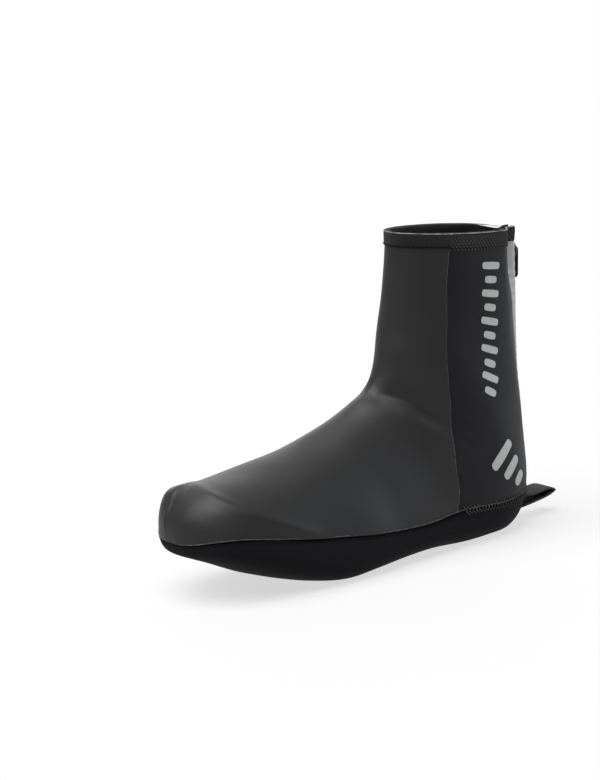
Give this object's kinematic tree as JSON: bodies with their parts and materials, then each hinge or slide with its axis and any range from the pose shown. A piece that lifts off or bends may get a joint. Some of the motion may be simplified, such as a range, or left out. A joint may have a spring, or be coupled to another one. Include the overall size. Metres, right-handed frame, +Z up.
{
  "type": "cycling overshoe",
  "caption": "Left stretch overshoe worn over a cycling shoe, with a rear zip, a bound collar, a wrap-up fabric sole with cleat and heel openings, and a heel pull loop.",
  "frame": {"origin": "centre of the bounding box on the floor", "axes": "+Z up, the toe points to -Y, the outer side of the left foot to +X"},
  "size_m": [0.1036, 0.325, 0.2268],
  "materials": {
    "upper_fabric": "satin coated stretch fabric",
    "sole_fabric": "matt twill",
    "binding_fabric": "matt stretch band",
    "reflective": "silver reflective tape",
    "zip_tape": "matt woven tape",
    "zip_coil": "nylon coil",
    "zip_metal": "black enamel",
    "webbing": "ribbed webbing"
  },
  "bodies": {
    "cover": {"upper": "upper_fabric", "sole": "sole_fabric", "collar_binding": "binding_fabric", "zip_coil": "zip_coil", "zip_tape_outer": "zip_tape", "zip_tape_inner": "zip_tape", "reflective_strip_outer": "reflective", "reflective_strip_inner": "reflective", "zip_slider": "zip_metal", "pull_loop": "webbing"},
    "pull_tab": {"zip_pull_tab": "zip_metal"}
  },
  "joints": [
    {"name": "pull_tab_hinge", "type": "hinge", "parent": "cover", "child": "pull_tab", "pos_m": [-0.0019, 0.14844, 0.19512], "axis": [1, 0, 0], "range_deg": [0, 150]}
  ]
}
